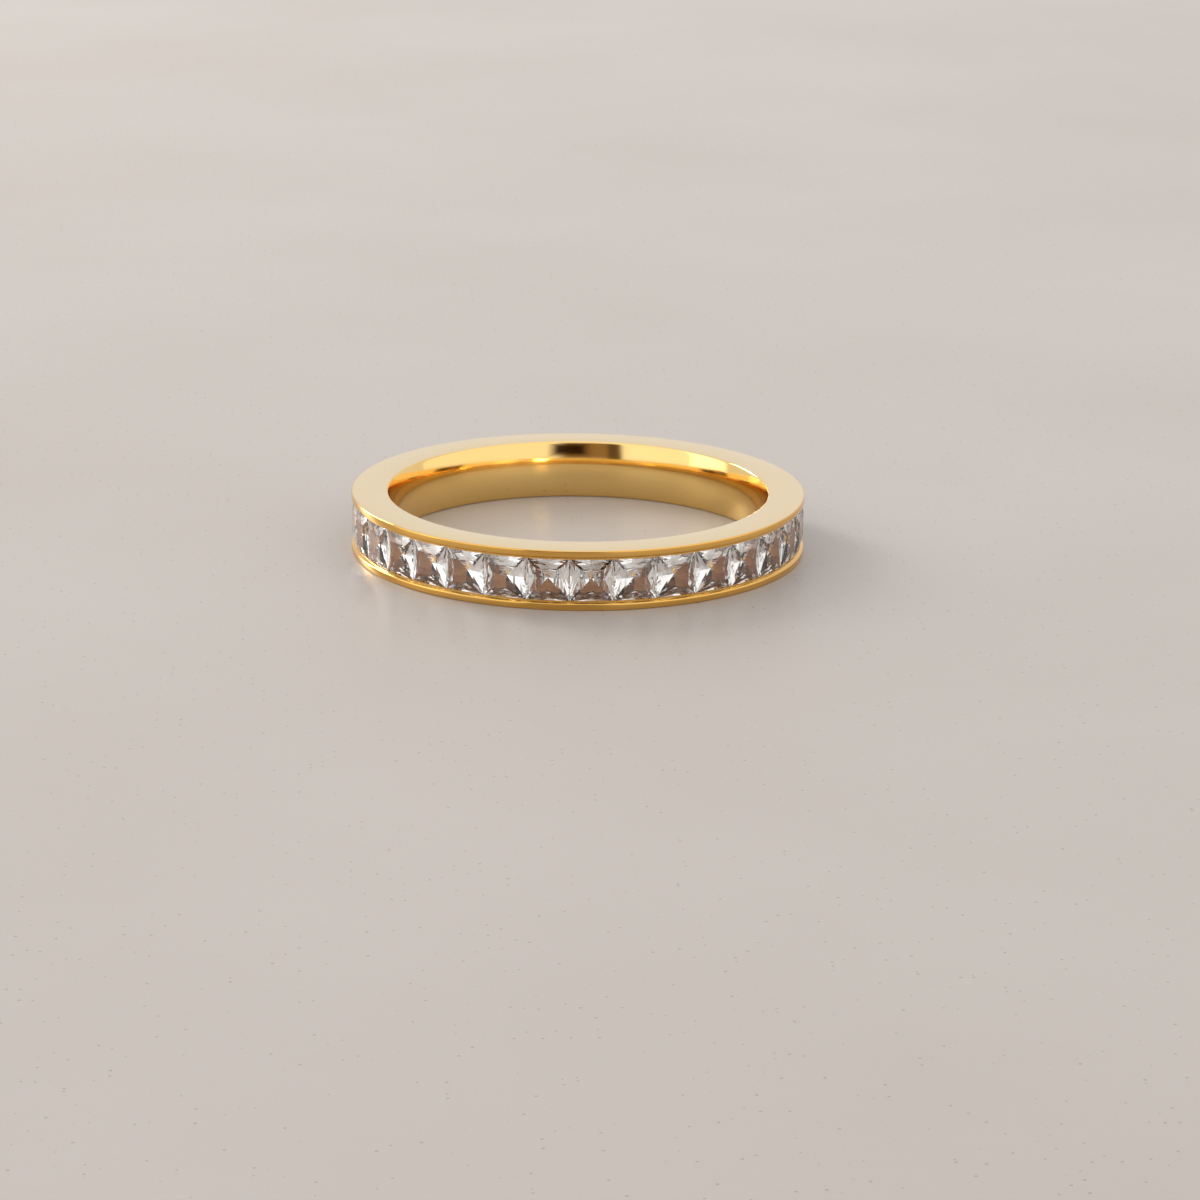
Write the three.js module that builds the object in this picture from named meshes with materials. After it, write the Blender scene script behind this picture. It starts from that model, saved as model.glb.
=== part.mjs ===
// A channel-set stackable ring: one gold band, cut with a channel all the way round, and a full circle of
// square princess-cut stones held between the channel's two rails.
// Millimetres, +Z up. The ring lies on its side: its axis is +Z, and its lower face rests on z = 0.
import * as THREE from "three";
import { ConvexGeometry } from "three/addons/geometries/ConvexGeometry.js";

// Driving dimensions of the band
const FINGER_DIAMETER = 17.0; // narrowest bore, half way across the band
const MOUTH_DIAMETER = 17.5; // bore where the rounded inside meets the flat faces
const OUTER_DIAMETER = 20.8;
const BAND_WIDTH = 2.72;
const RAIL_WIDTH = 0.42; // each rail, from the flat side to the stones
const EDGE_BREAK = 0.05; // polished edge of a face
const RAIL_BEVEL = { width: 0.13, depth: 0.14 }; // slope from the rail's outside down to the stones

// Driving dimensions of the stones
const STONE_COUNT = 33;
const STONE_LENGTH = 1.95; // across the band, from rail to rail
const STONE_GAP = 0.018; // between neighbours, at the girdle
const TABLE_RECESS = 0.05; // table below the rails' outer surface
const CROWN_HEIGHT = 0.15;
const GIRDLE_THICKNESS = 0.05;

// Driving dimensions of the channel
const LIP_THICKNESS = 0.16; // rail metal over the girdle
const SEAT_CLEARANCE = 0.015; // beside and under the girdle
const SHOULDER_CLEARANCE = 0.04; // beside and under the pavilion's first break
const CHANNEL_FLOOR_WIDTH = 0.7;
const CHANNEL_FLOOR_CLEARANCE = 0.07; // under the points of the stones

// Fineness of the round surfaces
const STEPS_PER_STONE = 4;
const COMFORT_STEPS = 6;

// Sizes that follow from them
const OUTER_RADIUS = OUTER_DIAMETER / 2;
const MOUTH_RADIUS = MOUTH_DIAMETER / 2;
const HALF_WIDTH = BAND_WIDTH / 2;
const HALF_WINDOW = HALF_WIDTH - RAIL_WIDTH;
const GIRDLE_RADIUS = OUTER_RADIUS - TABLE_RECESS - CROWN_HEIGHT;
const HALF_PITCH = GIRDLE_RADIUS * Math.tan(Math.PI / STONE_COUNT);
const STONE_HALF_WIDTH = HALF_PITCH - STONE_GAP / 2;
const STONE_HALF_LENGTH = STONE_LENGTH / 2;
const GIRDLE_FOOT_RADIUS = GIRDLE_RADIUS - GIRDLE_THICKNESS;

// Proportions of a princess cut, in shares of the stone's half width
const TABLE_SHARE = 0.54;
const CROWN_BREAK = { reach: 0.82, height: 0.53 }; // height is a share of the crown's
const PAVILION_BREAKS = [
  { reach: 0.835, depth: 0.174 },
  { reach: 0.517, depth: 0.433 },
];
const CULET_DEPTH = 0.765;

const culetRadius = GIRDLE_FOOT_RADIUS - CULET_DEPTH * STONE_HALF_WIDTH;

const gold = new THREE.MeshStandardMaterial({ color: 0xd9a441, metalness: 1.0, roughness: 0.12 });
const crystal = new THREE.MeshStandardMaterial({ color: 0xf2efe9, metalness: 0.0, roughness: 0.02 });

// Half of the channel's section, from the rail's outer edge down to the floor, as distances from the
// band's middle plane and from its axis.
function channelHalfSection() {
  const notch = STONE_HALF_LENGTH + SEAT_CLEARANCE;
  const firstBreak = PAVILION_BREAKS[0];
  return [
    { off: HALF_WINDOW + RAIL_BEVEL.width, radius: OUTER_RADIUS },
    { off: HALF_WINDOW, radius: OUTER_RADIUS - RAIL_BEVEL.depth },
    { off: HALF_WINDOW, radius: OUTER_RADIUS - LIP_THICKNESS },
    { off: notch, radius: OUTER_RADIUS - LIP_THICKNESS },
    { off: notch, radius: GIRDLE_FOOT_RADIUS - SEAT_CLEARANCE },
    {
      off: STONE_HALF_LENGTH * firstBreak.reach + SHOULDER_CLEARANCE,
      radius: GIRDLE_FOOT_RADIUS - firstBreak.depth * STONE_HALF_WIDTH - SHOULDER_CLEARANCE,
    },
    { off: CHANNEL_FLOOR_WIDTH / 2, radius: culetRadius - CHANNEL_FLOOR_CLEARANCE },
  ];
}

// The band's closed section, with x as the distance from the axis and y as the height.
function bandSection() {
  const sagitta = (MOUTH_DIAMETER - FINGER_DIAMETER) / 2;
  const arcRadius = (HALF_WIDTH ** 2 + sagitta ** 2) / (2 * sagitta);
  const arcCentre = FINGER_DIAMETER / 2 + arcRadius;
  const reach = HALF_WIDTH - EDGE_BREAK;
  const halfAngle = Math.asin(reach / arcRadius);
  const section = new THREE.Path();
  section.absarc(arcCentre, HALF_WIDTH, arcRadius, Math.PI + halfAngle, Math.PI - halfAngle, true);
  section.lineTo(MOUTH_RADIUS + EDGE_BREAK, BAND_WIDTH);
  section.lineTo(OUTER_RADIUS - EDGE_BREAK, BAND_WIDTH);
  section.lineTo(OUTER_RADIUS, BAND_WIDTH - EDGE_BREAK);
  const half = channelHalfSection();
  for (const { off, radius } of half) {
    section.lineTo(radius, HALF_WIDTH + off);
  }
  for (const { off, radius } of half.reverse()) {
    section.lineTo(radius, HALF_WIDTH - off);
  }
  section.lineTo(OUTER_RADIUS, EDGE_BREAK);
  section.lineTo(OUTER_RADIUS - EDGE_BREAK, 0);
  section.lineTo(MOUTH_RADIUS + EDGE_BREAK, 0);
  const points = section.getPoints(COMFORT_STEPS);
  points.push(points[0].clone());
  return points;
}

function bandMesh() {
  const geometry = new THREE.LatheGeometry(bandSection().reverse(), STONE_COUNT * STEPS_PER_STONE);
  geometry.rotateX(Math.PI / 2);
  const mesh = new THREE.Mesh(geometry, gold);
  mesh.name = "band";
  return mesh;
}

// Corner and side points of one level of a stone: x runs along the band, y across it, z out of the table.
function corners(share, z) {
  const x = STONE_HALF_WIDTH * share;
  const y = STONE_HALF_LENGTH * share;
  return [
    [-x, -y],
    [x, -y],
    [x, y],
    [-x, y],
  ].map(([px, py]) => new THREE.Vector3(px, py, z));
}

function sides(share, z) {
  const x = STONE_HALF_WIDTH * share;
  const y = STONE_HALF_LENGTH * share;
  return [
    [-x, 0],
    [x, 0],
    [0, -y],
    [0, y],
  ].map(([px, py]) => new THREE.Vector3(px, py, z));
}

// A princess cut is the hull of its table, girdle, breaks and point, with z = 0 at the girdle's top.
function princessCut() {
  const foot = -GIRDLE_THICKNESS;
  const points = [
    ...corners(TABLE_SHARE, CROWN_HEIGHT),
    ...sides(CROWN_BREAK.reach, CROWN_HEIGHT * CROWN_BREAK.height),
    ...corners(1, 0),
    ...corners(1, foot),
  ];
  for (const { reach, depth } of PAVILION_BREAKS) {
    points.push(...sides(reach, foot - depth * STONE_HALF_WIDTH));
  }
  points.push(new THREE.Vector3(0, 0, foot - CULET_DEPTH * STONE_HALF_WIDTH));
  return new ConvexGeometry(points);
}

// Stone 01 faces -Y, and the rest follow anticlockwise seen from above.
function stoneHolder(cut, index) {
  const mesh = new THREE.Mesh(cut, crystal);
  mesh.name = `stone_${String(index + 1).padStart(2, "0")}`;
  mesh.position.set(0, -GIRDLE_RADIUS, HALF_WIDTH);
  mesh.rotation.x = Math.PI / 2;
  const holder = new THREE.Group();
  holder.rotation.z = (index * 2 * Math.PI) / STONE_COUNT;
  holder.add(mesh);
  return holder;
}

const ring = new THREE.Group();
ring.add(bandMesh());
const cut = princessCut();
for (let index = 0; index < STONE_COUNT; index += 1) {
  ring.add(stoneHolder(cut, index));
}

export default ring;
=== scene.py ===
# A channel-set stackable ring, lying on a pale studio floor: one gold band, and a full circle of
# square princess-cut stones held between its two rails.
import math
import random

import bmesh
import bpy
from mathutils import Matrix, Vector


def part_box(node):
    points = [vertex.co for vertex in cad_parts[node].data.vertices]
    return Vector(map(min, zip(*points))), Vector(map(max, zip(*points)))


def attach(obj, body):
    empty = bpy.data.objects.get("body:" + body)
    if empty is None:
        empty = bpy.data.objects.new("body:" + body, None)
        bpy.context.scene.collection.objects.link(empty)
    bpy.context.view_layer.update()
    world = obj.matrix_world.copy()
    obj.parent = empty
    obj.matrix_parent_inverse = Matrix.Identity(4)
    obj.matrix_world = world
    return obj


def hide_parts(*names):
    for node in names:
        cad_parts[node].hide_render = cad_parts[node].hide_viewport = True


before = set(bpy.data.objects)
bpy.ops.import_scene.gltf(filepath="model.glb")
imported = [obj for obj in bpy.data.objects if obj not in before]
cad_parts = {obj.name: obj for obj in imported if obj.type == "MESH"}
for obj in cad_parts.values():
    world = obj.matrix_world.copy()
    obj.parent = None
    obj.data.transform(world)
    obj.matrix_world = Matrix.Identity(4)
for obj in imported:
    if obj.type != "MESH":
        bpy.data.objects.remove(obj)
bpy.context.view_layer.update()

MM = 0.001
MERGE = 1e-8  # two points closer than this, in metres, are one

band_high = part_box("band")[1]

# Sizes of the band
OUTER_RADIUS = band_high.x
BAND_WIDTH = band_high.z
MIDDLE = BAND_WIDTH / 2
MOUTH_RADIUS = 8.75 * MM
BORE_RADIUS = 8.5 * MM
RAIL_WIDTH = 0.42 * MM
HALF_WINDOW = MIDDLE - RAIL_WIDTH
BEVEL_WIDTH = 0.13 * MM  # the slope from a rail's outside down to the stones
BEVEL_DEPTH = 0.14 * MM
EDGE_ROUND = 0.06 * MM
RAIL_ROUND = 0.04 * MM

# Sizes of the stones
STONE_COUNT = 33
STONE_GAP = 0.018 * MM
STONE_HALF_LENGTH = 0.975 * MM
TABLE_RECESS = 0.05 * MM
CROWN_HEIGHT = 0.15 * MM
GIRDLE_THICKNESS = 0.05 * MM
GIRDLE_RADIUS = OUTER_RADIUS - TABLE_RECESS - CROWN_HEIGHT
GIRDLE_FOOT_RADIUS = GIRDLE_RADIUS - GIRDLE_THICKNESS
STONE_HALF_WIDTH = GIRDLE_RADIUS * math.tan(math.pi / STONE_COUNT) - STONE_GAP / 2
TABLE_SHARE = 0.54
CROWN_BREAK = (0.82, 0.53)  # reach, and height as a share of the crown's
PAVILION_BREAKS = ((0.835, 0.174), (0.517, 0.433))  # reach and depth
CULET_DEPTH = 0.765
SEAT_WOBBLE = math.radians(0.8)  # how far a set stone may tip or turn in its seat
WOBBLE_SEED = 33

# Sizes of the channel that the stones lie in, as pairs of radius and half width
LIP_RADIUS = OUTER_RADIUS - 0.16 * MM
SEAT_HALF_WIDTH = STONE_HALF_LENGTH + 0.02 * MM
SEAT_RADIUS = GIRDLE_FOOT_RADIUS - 0.02 * MM
SHOULDER = (GIRDLE_FOOT_RADIUS - 0.21 * MM, 0.855 * MM)
CHANNEL_FLOOR = (9.34 * MM, 0.35 * MM)
SLOPES = ((SEAT_RADIUS, SEAT_HALF_WIDTH), SHOULDER, CHANNEL_FLOOR)

# Fineness of the round surfaces
SPIN_STEPS = STONE_COUNT * 10
COMFORT_CUTS = 23
ROUND_SEGMENTS = 4

# The camera: where it stands to the ring, and where the middle of the ring's upper face lies in
# its frame
FRAME_PIXELS = 1200
FACE_PIXEL = (578.1, 489.3)
FOCAL_PIXELS = 4526.0
SENSOR = 36.0
VIEW_DISTANCE = 20 * OUTER_RADIUS
VIEW_ELEVATION = math.radians(15.17)
VIEW_AZIMUTH = math.radians(-3.61)
VIEW_ROLL = math.radians(0.59)

# The tent round the ring, in degrees and in radiance, where 1 is plain white. Azimuth 0 is behind
# the ring and 90 to its right; each zone is painted over the ones before it.
TENT_COLOUR = (0.85, 0.83, 0.81, 1.0)
TENT_ZONES = (  # middle, half width, low, high, edge, light
    (0, 180, -95, -1, 2, (0.42, 0.38, 0.35, 1.0)),
    (0, 180, 52, 95, 12, (1.1, 1.09, 1.08, 1.0)),
    (0, 62, 4, 50, 8, (0.87, 0.86, 0.85, 1.0)),
    (122, 48, 3, 50, 3, (1.18, 1.15, 1.12, 1.0)),
    (-125, 25, 3, 50, 3, (1.25, 1.25, 1.25, 1.0)),
    (-88, 14, 3, 45, 5, (2.2, 2.12, 2.0, 1.0)),
    (-168, 18, 2, 30, 6, (0.30, 0.19, 0.10, 1.0)),
    (-154, 4, 2, 28, 3, (0.12, 0.08, 0.04, 1.0)),
    (178, 11, 7, 24, 7, (0.03, 0.015, 0.005, 1.0)),
)
KEY_PLACE = (-43, 23, 0.5)  # azimuth, elevation and distance
KEY_SIZE = (0.11, 0.24)
KEY_RADIANCE = 17.0
KEY_TINT = (1.0, 0.97, 0.93)

# Colours of the gold
INSIDE_GOLD = ((0.90, 0.62, 0.22, 1.0), (0.93, 0.65, 0.26, 1.0))
# The rails' gold is a deeper, darker copy of the inside gold: painted shade for the dark
# surroundings the rails reflect.
SHADED_RAIL_GOLD = ((0.79, 0.445, 0.105, 1.0), (0.82, 0.475, 0.13, 1.0))
SATIN_SHEEN_GOLD = (0.88, 0.70, 0.43, 1.0)  # the flat sides, finished by lapping and painted paler: a painted highlight of the bright light they reflect
CHANNEL_SHADE_GOLD = (0.93, 0.45, 0.13, 1.0)  # the rough inside of the channel, painted a deeper, browner orange: painted shade under the stones

# Colours of the stones
CLEAR = (1.0, 1.0, 1.0, 1.0)
SMOKY = (0.99, 0.985, 0.975, 1.0)
STONE_IOR = 2.16

# Colours of the floor
FLOOR_LIGHT = (0.455, 0.415, 0.387, 1.0)
FLOOR_SHADE = (0.431, 0.393, 0.365, 1.0)
FLOOR_SPECK = (0.2, 0.17, 0.15, 1.0)
SPECK_CELLS = 2100.0  # a metre; one in five holds a speck
FLOOR_RADIUS = 0.75


def deselect_all():
    bpy.ops.object.select_all(action="DESELECT")


def open_mesh(kind):
    bpy.ops.object.mode_set(mode="EDIT")
    bpy.ops.mesh.select_mode(type=kind)


def close_mesh():
    bpy.ops.object.mode_set(mode="OBJECT")


def pick(kind, test):
    """Selects only those verts, edges or faces of the open mesh whose middle passes the test."""
    bpy.ops.mesh.select_all(action="DESELECT")
    mesh = bmesh.from_edit_mesh(bpy.context.object.data)
    for element in getattr(mesh, kind):
        points = [element.co] if kind == "verts" else [v.co for v in element.verts]
        middle = sum(points, Vector()) / len(points)
        if test(middle):
            element.select_set(True)
    mesh.select_flush_mode()
    bmesh.update_edit_mesh(bpy.context.object.data)


def near(a, b, reach=0.002 * MM):
    return abs(a - b) < reach


def apply_modifier(piece, kind, **settings):
    modifier = piece.modifiers.new(kind.lower(), kind)
    for name, value in settings.items():
        setattr(modifier, name, value)
    bpy.context.view_layer.objects.active = piece
    bpy.ops.object.modifier_apply(modifier=modifier.name)


def score(point, normal):
    """Cuts a line across the open section without taking anything away."""
    bpy.ops.mesh.select_all(action="SELECT")
    bpy.ops.mesh.bisect(plane_co=point, plane_no=normal, threshold=MERGE)


def channel_half_width(radius):
    """Half the channel's width at a radius, and 0 below its floor."""
    if radius > OUTER_RADIUS - BEVEL_DEPTH:
        return HALF_WINDOW + BEVEL_WIDTH * (1 - (OUTER_RADIUS - radius) / BEVEL_DEPTH)
    if radius > LIP_RADIUS:
        return HALF_WINDOW
    if radius > SEAT_RADIUS:
        return SEAT_HALF_WIDTH
    for (top, wide), (bottom, narrow) in zip(SLOPES, SLOPES[1:]):
        if radius > bottom:
            return narrow + (wide - narrow) * (radius - bottom) / (top - bottom)
    return 0.0


def cut_channel():
    steps = (OUTER_RADIUS - BEVEL_DEPTH, LIP_RADIUS, SEAT_RADIUS, SHOULDER[0], CHANNEL_FLOOR[0])
    for radius in steps:
        score((radius, 0, 0), (1, 0, 0))
    for side in (-1, 1):
        for half_width in (HALF_WINDOW, SEAT_HALF_WIDTH):
            score((0, 0, MIDDLE + side * half_width), (0, 0, 1))
        bevel = (OUTER_RADIUS - BEVEL_DEPTH, 0, MIDDLE + side * HALF_WINDOW)
        score(bevel, Vector((-BEVEL_WIDTH, 0, side * BEVEL_DEPTH)))
        for (top, wide), (bottom, narrow) in zip(SLOPES, SLOPES[1:]):
            point = (top, 0, MIDDLE + side * wide)
            score(point, Vector((narrow - wide, 0, side * (top - bottom))))
    pick("faces", lambda p: abs(p.z - MIDDLE) < channel_half_width(p.x))
    bpy.ops.mesh.delete(type="FACE")
    bpy.ops.mesh.select_all(action="SELECT")
    bpy.ops.mesh.dissolve_limited(angle_limit=math.radians(0.5))


def round_inside():
    """Pushes the section's inner edge out to the shallow arc of a comfort fit."""
    sagitta = MOUTH_RADIUS - BORE_RADIUS
    arc_radius = (MIDDLE**2 + sagitta**2) / (2 * sagitta)
    bpy.ops.mesh.select_mode(type="EDGE")
    pick("edges", lambda p: near(p.x, MOUTH_RADIUS))
    bpy.ops.mesh.subdivide(number_cuts=COMFORT_CUTS)
    bpy.ops.mesh.select_mode(type="VERT")
    for cut in range(1, COMFORT_CUTS + 1):
        height = BAND_WIDTH * cut / (COMFORT_CUTS + 1)
        push = math.sqrt(arc_radius**2 - (height - MIDDLE) ** 2) - arc_radius + sagitta
        pick("verts", lambda p: near(p.x, MOUTH_RADIUS) and near(p.z, height))
        bpy.ops.transform.translate(value=(-push, 0, 0))


def round_corners():
    def at_flat_face(p):
        at_end = near(p.x, MOUTH_RADIUS) or near(p.x, OUTER_RADIUS)
        return at_end and near(abs(p.z - MIDDLE), MIDDLE)

    def at_bevel(p):
        return near(p.x, OUTER_RADIUS) and near(abs(p.z - MIDDLE), HALF_WINDOW + BEVEL_WIDTH)

    for test, size in ((at_flat_face, EDGE_ROUND), (at_bevel, RAIL_ROUND)):
        pick("verts", test)
        bpy.ops.mesh.bevel(offset=size, segments=ROUND_SEGMENTS, affect="VERTICES")


def make_band(material):
    """One section of the band, cut, rounded and spun about the ring's axis."""
    deselect_all()
    wall = OUTER_RADIUS - MOUTH_RADIUS
    middle = ((OUTER_RADIUS + MOUTH_RADIUS) / 2, 0, MIDDLE)
    upright = (math.radians(90), 0, 0)
    bpy.ops.mesh.primitive_plane_add(size=1, location=middle, rotation=upright)
    band = bpy.context.object
    band.name = "gold_band"
    band.scale = (wall, BAND_WIDTH, 1)
    bpy.ops.object.transform_apply(location=True, rotation=True, scale=True)
    open_mesh("FACE")
    cut_channel()
    round_inside()
    round_corners()
    bpy.ops.mesh.select_mode(type="EDGE")
    bpy.ops.mesh.select_all(action="SELECT")
    bpy.ops.mesh.delete(type="ONLY_FACE")
    bpy.ops.mesh.select_all(action="SELECT")
    bpy.ops.mesh.spin(steps=SPIN_STEPS, angle=math.tau, center=(0, 0, 0), axis=(0, 0, 1))
    bpy.ops.mesh.select_all(action="SELECT")
    bpy.ops.mesh.remove_doubles(threshold=MERGE * 10)
    bpy.ops.mesh.normals_make_consistent(inside=False)
    close_mesh()
    bpy.ops.object.shade_smooth_by_angle(angle=math.radians(26))
    apply_modifier(band, "WEIGHTED_NORMAL", keep_sharp=True)
    band.data.materials.append(material)
    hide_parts("band")
    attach(band, "root")


def on_stone(along, across, out):
    """A point of the first stone, in shares of its half width and length, and metres outward."""
    x = along * STONE_HALF_WIDTH
    y = -(GIRDLE_RADIUS + out)
    z = MIDDLE + across * STONE_HALF_LENGTH
    return Vector((x, y, z))


def quarter(share_a, share_b, out, turns):
    """A point of the first stone after the given number of quarter turns about its own axis."""
    for _ in range(turns):
        share_a, share_b = -share_b, share_a
    return on_stone(share_a, share_b, out)


def grind(a, b, c, heart):
    """Grinds one flat facet through three points, and takes away what lies beyond it."""
    normal = (b - a).cross(c - a).normalized()
    if normal.dot(heart - a) > 0:
        normal = -normal
    bpy.ops.mesh.select_all(action="SELECT")
    bpy.ops.mesh.bisect(
        plane_co=a, plane_no=normal, threshold=MERGE, use_fill=True, clear_outer=True
    )


def grind_crown(heart):
    reach, height = CROWN_BREAK
    for turns in range(4):
        star = quarter(reach, 0, CROWN_HEIGHT * height, turns)
        corners = [quarter(1, side, 0, turns) for side in (-1, 1)]
        tables = [
            quarter(TABLE_SHARE, side * TABLE_SHARE, CROWN_HEIGHT, turns) for side in (-1, 1)
        ]
        for table, corner in zip(tables, corners):
            grind(table, corner, star, heart)
        grind(*corners, star, heart)
        grind(*tables, star, heart)


def grind_pavilion(heart):
    foot = -GIRDLE_THICKNESS
    breaks = [(reach, foot - depth * STONE_HALF_WIDTH) for reach, depth in PAVILION_BREAKS]
    breaks.append((0, foot - CULET_DEPTH * STONE_HALF_WIDTH))
    for turns in range(4):
        points = [quarter(reach, 0, out, turns) for reach, out in breaks]
        corners = [quarter(1, side, foot, turns) for side in (-1, 1)]
        grind(*corners, points[0], heart)
        for upper, lower in zip(points, points[1:]):
            for corner in corners:
                grind(corner, upper, lower, heart)


def cut_stone(material):
    """A princess cut, ground facet by facet out of a block. It faces -Y, and is copied later."""
    deselect_all()
    culet = -GIRDLE_THICKNESS - CULET_DEPTH * STONE_HALF_WIDTH
    middle = on_stone(0, 0, (CROWN_HEIGHT + culet) / 2)
    bpy.ops.mesh.primitive_cube_add(size=1, location=middle)
    stone = bpy.context.object
    stone.scale = (2 * STONE_HALF_WIDTH, CROWN_HEIGHT - culet, 2 * STONE_HALF_LENGTH)
    bpy.ops.object.transform_apply(location=True, rotation=True, scale=True)
    open_mesh("FACE")
    heart = on_stone(0, 0, -0.2 * STONE_HALF_WIDTH)
    grind_crown(heart)
    grind_pavilion(heart)
    bpy.ops.mesh.select_all(action="SELECT")
    bpy.ops.mesh.dissolve_limited(angle_limit=math.radians(0.2))
    bpy.ops.mesh.select_all(action="SELECT")
    bpy.ops.mesh.normals_make_consistent(inside=False)
    close_mesh()
    bpy.ops.object.shade_flat()
    stone.data.materials.append(material)
    return stone


def set_stones(first):
    """Copies the cut stone into each seat, where it sits a little unevenly, as if set by hand."""
    chance = random.Random(WOBBLE_SEED)
    girdle = Matrix.Translation(on_stone(0, 0, 0))
    for number in range(1, STONE_COUNT + 1):
        stone = first.copy()
        stone.data = first.data.copy()
        stone.name = f"stone_{number:02d}_cut"
        bpy.context.collection.objects.link(stone)
        wobble = Matrix.Identity(4)
        for axis in "XYZ":
            angle = chance.uniform(-SEAT_WOBBLE, SEAT_WOBBLE)
            if axis == "Y":
                angle /= 2
            wobble = Matrix.Rotation(angle, 4, axis) @ wobble
        seat = Matrix.Rotation((number - 1) * math.tau / STONE_COUNT, 4, "Z")
        stone.matrix_world = seat @ girdle @ wobble @ girdle.inverted()
        deselect_all()
        stone.select_set(True)
        bpy.context.view_layer.objects.active = stone
        bpy.ops.object.transform_apply(location=True, rotation=True, scale=True)
        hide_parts(f"stone_{number:02d}")
        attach(stone, "root")
    bpy.data.objects.remove(first)


class Graph:
    """A short way to write node trees: each call adds a node, and sets or links its inputs."""

    def __init__(self, tree):
        self.tree = tree

    def feed(self, socket, value):
        if isinstance(value, bpy.types.NodeSocket):
            self.tree.links.new(value, socket)
        else:
            socket.default_value = value

    def add(self, kind, inputs=None, **settings):
        node = self.tree.nodes.new(kind)
        for name, value in settings.items():
            setattr(node, name, value)
        for name, value in (inputs or {}).items():
            self.feed(node.inputs[name], value)
        return node

    def math(self, operation, a, b=0.0, clamp=False):
        node = self.add("ShaderNodeMath", {0: a, 1: b}, operation=operation, use_clamp=clamp)
        return node.outputs[0]

    def ramp(self, value, low, high, to_low=0.0, to_high=1.0):
        inputs = {"Value": value, "From Min": low, "From Max": high}
        inputs.update({"To Min": to_low, "To Max": to_high})
        return self.add("ShaderNodeMapRange", inputs).outputs[0]

    def blend(self, share, a, b):
        node = self.add("ShaderNodeMix", {0: share, 6: a, 7: b}, data_type="RGBA")
        return node.outputs[2]

    def noise(self, vector, scale, detail, distortion=0.0):
        inputs = {"Vector": vector, "Scale": scale, "Detail": detail, "Distortion": distortion}
        return self.add("ShaderNodeTexNoise", inputs).outputs[0]

    def split(self, vector):
        return self.add("ShaderNodeSeparateXYZ", {"Vector": vector}).outputs

    def radius_and_height(self, vector):
        """The distance of a place from the ring's axis, and its height."""
        x, y, z = self.split(vector)
        squares = self.math("ADD", self.math("MULTIPLY", x, x), self.math("MULTIPLY", y, y))
        return self.math("SQRT", squares), z


def new_group(name, inputs, outputs):
    tree = bpy.data.node_groups.new(name, "ShaderNodeTree")
    for socket, (kind, value) in inputs.items():
        made = tree.interface.new_socket(socket, in_out="INPUT", socket_type=kind)
        if value is not None:
            made.default_value = value
    for socket, kind in outputs.items():
        tree.interface.new_socket(socket, in_out="OUTPUT", socket_type=kind)
    graph = Graph(tree)
    return graph, graph.add("NodeGroupInput"), graph.add("NodeGroupOutput")


def use_group(graph, tree, **inputs):
    return graph.add("ShaderNodeGroup", inputs, node_tree=tree)


def handling_group():
    """The film that fingers leave: a mask of soft prints, broken up by finer wiped streaks."""
    graph, given, result = new_group(
        "handling",
        {"Vector": ("NodeSocketVector", None), "Scale": ("NodeSocketFloat", 300.0)},
        {"Mask": "NodeSocketFloat"},
    )
    place, scale = given.outputs["Vector"], given.outputs["Scale"]
    patches = graph.noise(place, scale, 3.0)
    streaks = graph.noise(place, graph.math("MULTIPLY", scale, 7.0), 2.0, 1.5)
    soft = graph.ramp(patches, 0.42, 0.72)
    broken = graph.ramp(streaks, 0.3, 0.8, 0.35, 1.0)
    graph.feed(result.inputs["Mask"], graph.math("MULTIPLY", soft, broken, clamp=True))
    return graph.tree


def polishing_group():
    """Lines that a polishing wheel leaves round a ring: fine along it, broken up here and there."""
    graph, given, result = new_group(
        "polishing",
        {"Vector": ("NodeSocketVector", None), "Lines per metre": ("NodeSocketFloat", 20000.0)},
        {"Height": "NodeSocketFloat"},
    )
    radius, height = graph.radius_and_height(given.outputs["Vector"])
    section = graph.add("ShaderNodeCombineXYZ", {"X": radius, "Y": height}).outputs[0]
    lines = graph.noise(section, given.outputs["Lines per metre"], 2.0)
    breaks = graph.noise(given.outputs["Vector"], 900.0, 2.0)
    share = graph.ramp(breaks, 0.35, 0.65)
    graph.feed(result.inputs["Height"], graph.math("MULTIPLY", lines, share))
    return graph.tree


def new_material(name):
    material = bpy.data.materials.new(name)
    material.use_nodes = True
    material.node_tree.nodes.clear()
    graph = Graph(material.node_tree)
    shader = graph.add("ShaderNodeBsdfPrincipled")
    output = graph.add("ShaderNodeOutputMaterial")
    graph.tree.links.new(shader.outputs[0], output.inputs["Surface"])
    place = graph.add("ShaderNodeTexCoord")
    return material, graph, shader, place


def channel_mask(graph, radius, height):
    """1 on the walls and the floor of the channel, under the stones, and 0 elsewhere; there the
    gold is rougher and painted browner as shade.
    """
    off_middle = graph.math("ABSOLUTE", graph.math("SUBTRACT", height, MIDDLE))
    under_stones = graph.math("LESS_THAN", off_middle, SEAT_HALF_WIDTH + 0.01 * MM)
    below_lip = graph.math("LESS_THAN", radius, LIP_RADIUS + 0.01 * MM)
    past_wall = graph.math("GREATER_THAN", radius, MOUTH_RADIUS + EDGE_ROUND)
    return graph.math("MULTIPLY", graph.math("MULTIPLY", under_stones, below_lip), past_wall)


def gold_colour(graph, here, radius, lapped_and_sheen, channel):
    tone = graph.ramp(graph.noise(here, 180.0, 2.0), 0.3, 0.7)
    # From the inside gold out to the rails' darker gold, which is painted shade.
    outside = graph.ramp(radius, SEAT_RADIUS, LIP_RADIUS)
    polished = graph.blend(
        outside, graph.blend(tone, *INSIDE_GOLD), graph.blend(tone, *SHADED_RAIL_GOLD)
    )
    # The flat sides take the paler gold, a painted highlight, and the channel the browner gold,
    # painted shade.
    return graph.blend(channel, graph.blend(lapped_and_sheen, polished, SATIN_SHEEN_GOLD), CHANNEL_SHADE_GOLD)


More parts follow.
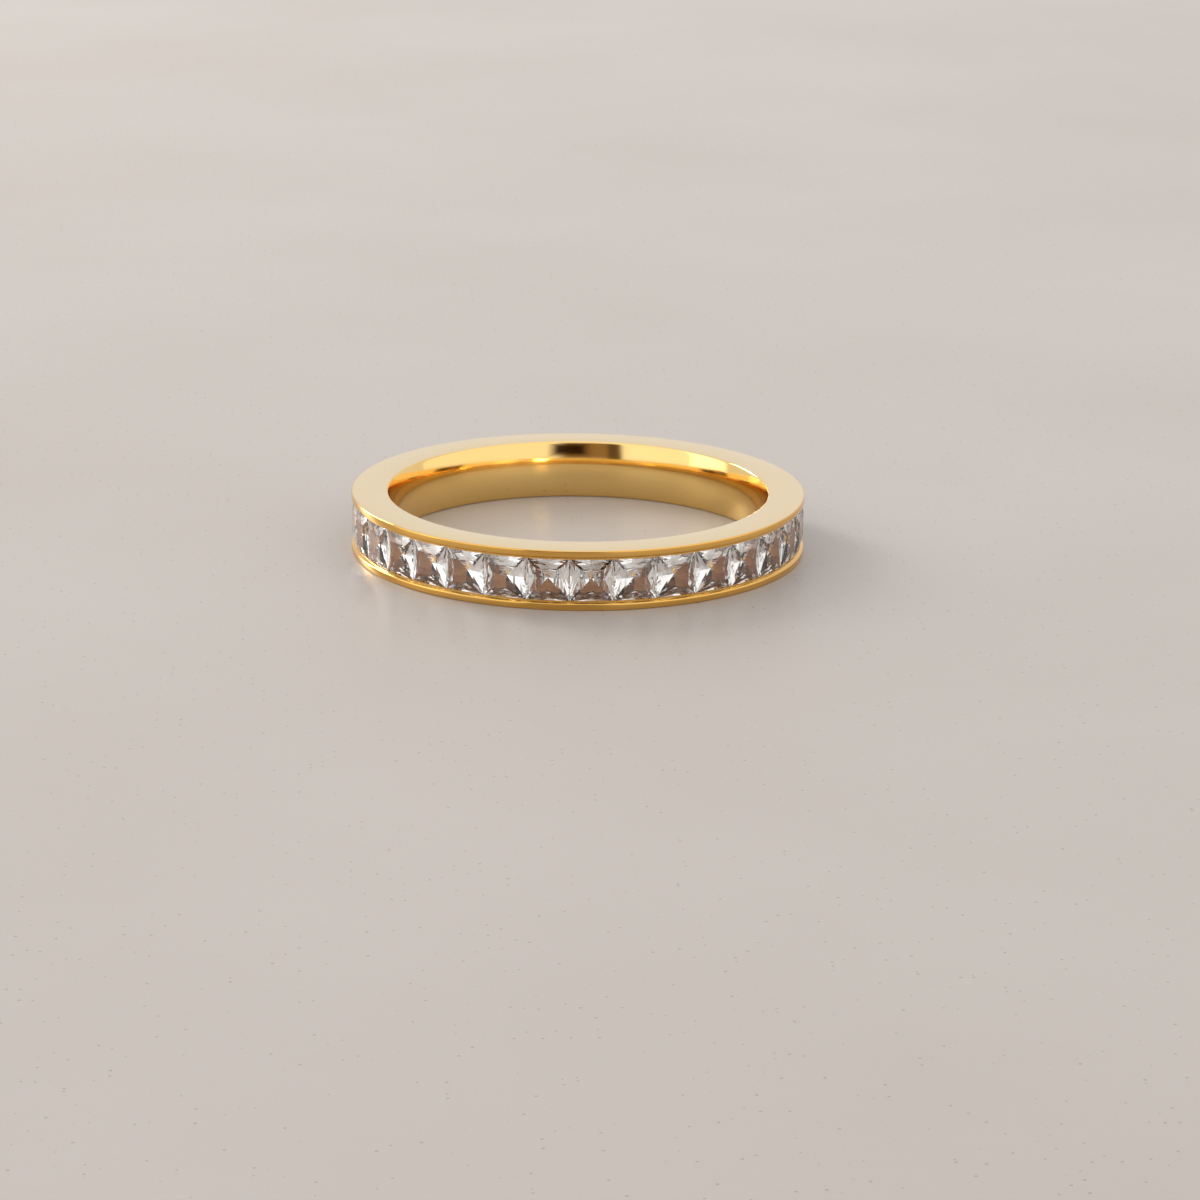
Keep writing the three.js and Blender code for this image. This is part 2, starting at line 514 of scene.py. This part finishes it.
def gold_material(handling, polishing):
    """Yellow gold: a polished inside; polished rails, darker by painted shade; flat sides finished
    by lapping and paler by a painted highlight; and a rough cast channel, browner by painted shade
    under the stones.
    """
    material, graph, shader, place = new_material("polished gold")
    here = place.outputs["Object"]
    prints = use_group(graph, handling, Vector=here, Scale=350.0).outputs["Mask"]
    lines = use_group(graph, polishing, Vector=here).outputs["Height"]
    # Faces that point straight up or down: rougher from lapping, and painted a paler gold as a
    # painted highlight.
    facing = graph.math("ABSOLUTE", graph.split(place.outputs["Normal"])[2])
    lapped_and_sheen = graph.ramp(facing, 0.93, 0.99)
    radius, height = graph.radius_and_height(here)
    channel = channel_mask(graph, radius, height)
    colour = gold_colour(graph, here, radius, lapped_and_sheen, channel)
    graph.feed(shader.inputs["Base Color"], colour)
    rough = graph.ramp(lapped_and_sheen, 0.0, 1.0, 0.07, 0.17)
    rough = graph.math("ADD", rough, graph.math("MULTIPLY", channel, 0.45))
    rough = graph.math("ADD", rough, graph.math("MULTIPLY", prints, 0.09))
    rough = graph.math("ADD", rough, graph.math("MULTIPLY", lines, 0.05), clamp=True)
    graph.feed(shader.inputs["Roughness"], rough)
    bump = {"Height": lines, "Strength": 0.06, "Distance": 0.01 * MM}
    graph.feed(shader.inputs["Normal"], graph.add("ShaderNodeBump", bump).outputs[0])
    shader.inputs["Metallic"].default_value = 1.0
    return material


def crystal_material(handling):
    """Clear cubic zirconia, with the faint film of a stone that has been handled."""
    material, graph, shader, place = new_material("clear crystal")
    here = place.outputs["Object"]
    prints = use_group(graph, handling, Vector=here, Scale=500.0).outputs["Mask"]
    tone = graph.ramp(graph.noise(here, 260.0, 2.0), 0.35, 0.65)
    graph.feed(shader.inputs["Base Color"], graph.blend(tone, CLEAR, SMOKY))
    graph.feed(shader.inputs["Roughness"], graph.ramp(prints, 0.0, 1.0, 0.0, 0.05))
    shader.inputs["IOR"].default_value = STONE_IOR
    shader.inputs["Transmission Weight"].default_value = 1.0
    return material


def speck_mask(graph, here):
    """Small round pits: one in some of the cells, each of its own size."""
    inputs = {"Vector": here, "Scale": SPECK_CELLS}
    cells = graph.add("ShaderNodeTexVoronoi", inputs, voronoi_dimensions="2D")
    chance = graph.add("ShaderNodeSeparateColor", {"Color": cells.outputs["Color"]}).outputs[0]
    radius = graph.ramp(chance, 0.8, 1.0, -0.02, 0.15)
    past = graph.math("SUBTRACT", cells.outputs["Distance"], radius)
    return graph.ramp(past, -0.04, 0.01, 0.6, 0.0)


def floor_material():
    """Fine pale plaster-like stone: an even warm grey with faint clouds and small darker specks."""
    material, graph, shader, place = new_material("pale floor")
    here = place.outputs["Object"]
    clouds = graph.noise(here, 30.0, 4.0)
    base = graph.blend(graph.ramp(clouds, 0.3, 0.7), FLOOR_LIGHT, FLOOR_SHADE)
    colour = graph.blend(speck_mask(graph, here), base, FLOOR_SPECK)
    graph.feed(shader.inputs["Base Color"], colour)
    graph.feed(shader.inputs["Roughness"], graph.ramp(clouds, 0.3, 0.7, 0.36, 0.46))
    bump = {"Height": graph.noise(here, 1500.0, 3.0), "Strength": 0.12, "Distance": 0.1 * MM}
    graph.feed(shader.inputs["Normal"], graph.add("ShaderNodeBump", bump).outputs[0])
    return material


def make_floor():
    deselect_all()
    bpy.ops.mesh.primitive_circle_add(
        vertices=96, radius=FLOOR_RADIUS, fill_type="NGON", location=(0, 0, 0)
    )
    floor = bpy.context.object
    floor.name = "studio_floor"
    floor.data.materials.append(floor_material())


def toward(azimuth, elevation):
    """The unit vector to a place in the studio. Azimuth 0 is behind the ring, 90 to the right."""
    a, e = math.radians(azimuth), math.radians(elevation)
    return Vector((math.sin(a) * math.cos(e), math.cos(a) * math.cos(e), math.sin(e)))


def add_key():
    """A soft box that faces the ring."""
    light = bpy.data.lights.new("key", "AREA")
    light.shape = "RECTANGLE"
    light.size, light.size_y = KEY_SIZE
    light.energy = KEY_RADIANCE * math.pi * light.size * light.size_y
    light.color = KEY_TINT
    lamp = bpy.data.objects.new("key", light)
    bpy.context.collection.objects.link(lamp)
    azimuth, elevation, distance = KEY_PLACE
    lamp.location = toward(azimuth, elevation) * distance
    lamp.rotation_euler = lamp.location.to_track_quat("Z", "Y").to_euler()
    lamp.visible_camera = False


def zone_group():
    """A soft-edged patch of the studio round the ring: how much of a direction lies inside it."""
    sockets = ("Azimuth", "Elevation", "Middle", "Half width", "Low", "High", "Edge")
    graph, given, result = new_group(
        "studio zone",
        {name: ("NodeSocketFloat", 0.0) for name in sockets},
        {"Mask": "NodeSocketFloat"},
    )
    azimuth, elevation, middle, half, low, high, edge = given.outputs[:7]
    turned = graph.math("ADD", graph.math("SUBTRACT", azimuth, middle), 540.0)
    turned = graph.math("SUBTRACT", graph.math("MODULO", turned, 360.0), 180.0)
    apart = graph.math("ABSOLUTE", turned)
    inside = graph.math("DIVIDE", graph.math("SUBTRACT", half, apart), edge)
    above = graph.math("DIVIDE", graph.math("SUBTRACT", elevation, low), edge)
    below = graph.math("DIVIDE", graph.math("SUBTRACT", high, elevation), edge)
    nearest = graph.math("MINIMUM", inside, graph.math("MINIMUM", above, below))
    graph.feed(result.inputs["Mask"], graph.math("ADD", nearest, 0.5, clamp=True))
    return graph.tree


def paint_tent():
    """The white tent round the ring, with its panels and the dark gap where the camera looks in."""
    world = bpy.data.worlds.new("studio")
    bpy.context.scene.world = world
    world.use_nodes = True
    world.cycles.sampling_method = "NONE"
    graph = Graph(world.node_tree)
    background = world.node_tree.nodes["Background"]
    direction = graph.add("ShaderNodeTexCoord").outputs["Generated"]
    x, y, z = graph.split(direction)
    angles = {
        "Azimuth": graph.math("DEGREES", graph.math("ARCTAN2", x, y)),
        "Elevation": graph.math("DEGREES", graph.math("ARCSINE", z)),
    }
    zone = zone_group()
    colour = TENT_COLOUR
    for middle, half, low, high, edge, light in TENT_ZONES:
        values = {"Middle": middle, "Half width": half, "Low": low, "High": high, "Edge": edge}
        mask = use_group(graph, zone, **angles, **values).outputs["Mask"]
        colour = graph.blend(mask, colour, light)
    graph.feed(background.inputs["Color"], colour)


def place_camera():
    """Puts the middle of the upper face at its pixel, at the view's elevation, turn and roll."""
    data = bpy.data.cameras.new("camera")
    data.sensor_width = SENSOR
    data.lens = FOCAL_PIXELS * SENSOR / FRAME_PIXELS
    data.clip_start, data.clip_end = 1 * MM, 3.0
    camera = bpy.data.objects.new("camera", data)
    bpy.context.collection.objects.link(camera)
    centre = FRAME_PIXELS / 2
    ahead = Vector((FACE_PIXEL[0] - centre, centre - FACE_PIXEL[1], -FOCAL_PIXELS)).normalized()
    up = Vector((0, 1, 0))
    up = (up - ahead * up.dot(ahead)).normalized()
    right = ahead.cross(up)
    rolled_up = up * math.cos(VIEW_ROLL) + right * math.sin(VIEW_ROLL)
    rolled_right = right * math.cos(VIEW_ROLL) - up * math.sin(VIEW_ROLL)
    level = ahead * math.cos(VIEW_ELEVATION) + rolled_up * math.sin(VIEW_ELEVATION)
    rise = rolled_up * math.cos(VIEW_ELEVATION) - ahead * math.sin(VIEW_ELEVATION)
    turn = Matrix((rolled_right, level, rise))  # rows: the world's axes as the camera sees them
    turn = Matrix.Rotation(VIEW_AZIMUTH, 3, "Z") @ turn
    face_middle = Vector((0, 0, BAND_WIDTH))
    place = face_middle - turn @ ahead * VIEW_DISTANCE
    camera.matrix_world = Matrix.Translation(place) @ turn.to_4x4()
    bpy.context.scene.camera = camera


def set_rendering():
    scene = bpy.context.scene
    scene.view_settings.view_transform = "Standard"
    scene.cycles.use_denoising = True
    scene.cycles.max_bounces = 20
    scene.cycles.transmission_bounces = 18
    scene.cycles.glossy_bounces = 8


place_camera()
make_floor()
add_key()
paint_tent()
set_rendering()
handling = handling_group()
polishing = polishing_group()
make_band(gold_material(handling, polishing))
set_stones(cut_stone(crystal_material(handling)))
